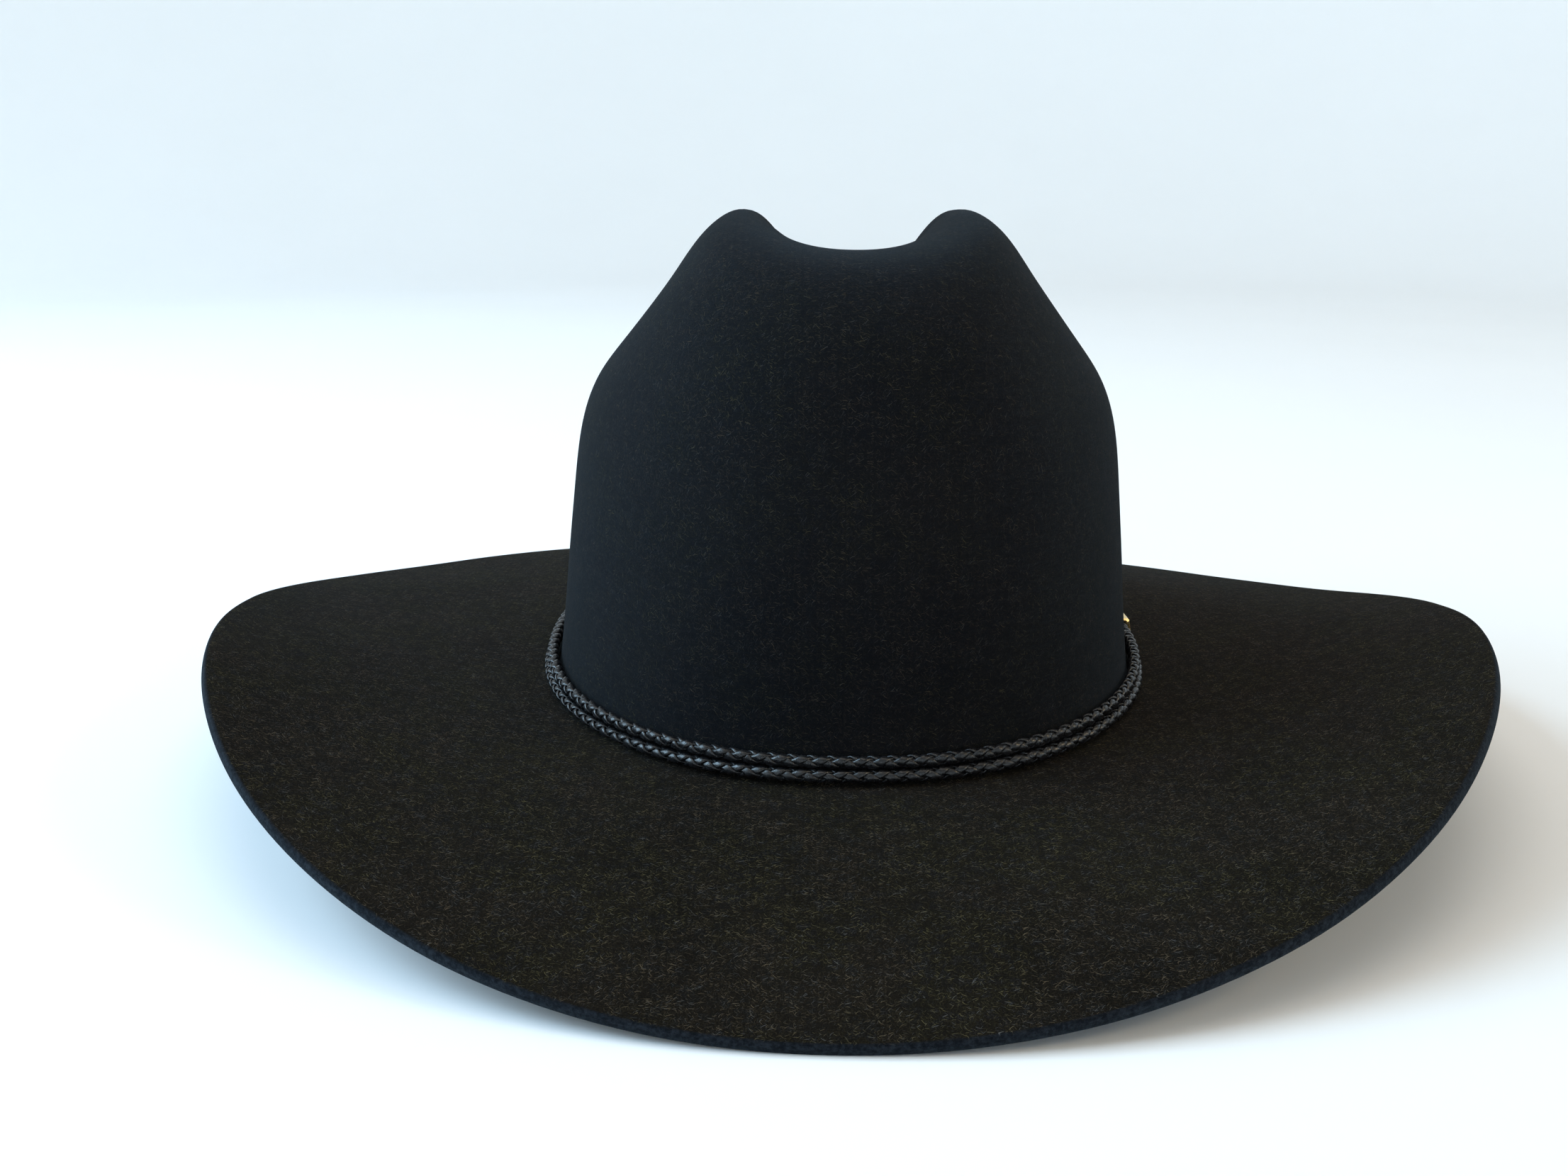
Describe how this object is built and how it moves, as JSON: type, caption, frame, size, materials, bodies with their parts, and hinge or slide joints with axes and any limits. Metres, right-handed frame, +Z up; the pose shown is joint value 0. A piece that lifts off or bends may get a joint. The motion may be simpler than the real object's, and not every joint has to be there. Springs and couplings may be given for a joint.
{
  "type": "cowboy hat",
  "caption": "Felt western hat with a creased crown, a wide brim rolled up at the sides, a lined leather-banded crown and a twin braided cord hatband with a small buckle.",
  "frame": {"origin": "on the table under the middle of the hat's box; the hat stands on the front and rear dips of its brim", "axes": "+X to the wearer's right, +Y to the wearer's front, +Z up"},
  "size_m": [0.3766, 0.4072, 0.1588],
  "materials": {
    "felt": "dense short-napped fur felt",
    "sweatband_leather": "smooth vegetable-tanned leather",
    "reed_plastic": "extruded plastic",
    "thread": "twisted cotton thread",
    "cotton_tape": "plain woven cotton",
    "ribbon": "grosgrain ribbon",
    "satin": "satin lining",
    "clear_plastic": "clear flexible sheet",
    "cord_leather": "semi-gloss braided leather",
    "strap_leather": "semi-gloss strap leather",
    "brass": "polished brass"
  },
  "bodies": {
    "hat": {"felt_body": "felt", "sweatband": "sweatband_leather", "sweatband_reed": "reed_plastic", "sweatband_stitches": "thread", "sweatband_join_stitches": "thread", "sweatband_tape": "cotton_tape", "bow_ribbon": "ribbon", "bow_knot": "ribbon", "lining_side": "satin", "lining_tip": "satin", "lining_piping": "satin", "tip_protector": "clear_plastic"},
    "hatband": {"band_cord_upper": "cord_leather", "band_cord_lower": "cord_leather", "band_cap_front": "brass", "band_cap_rear": "brass", "buckle_strap": "strap_leather", "billet": "strap_leather", "buckle_frame": "brass"},
    "prong": {"buckle_prong": "brass"},
    "keeper": {"band_keeper": "strap_leather"}
  },
  "joints": [
    {"name": "hatband_lift", "type": "slide", "parent": "hat", "child": "hatband", "axis": [0, 0, 1], "range_m": [0, 0.16]},
    {"name": "prong_hinge", "type": "hinge", "parent": "hatband", "child": "prong", "pos_m": [0.08037, 0.05306, 0.02731], "axis": [0, 0, -1], "range_deg": [0, 110]},
    {"name": "keeper_slide", "type": "slide", "parent": "hatband", "child": "keeper", "axis": [-0.2753, 0.9614, 0], "range_m": [-0.004, 0.004]}
  ]
}
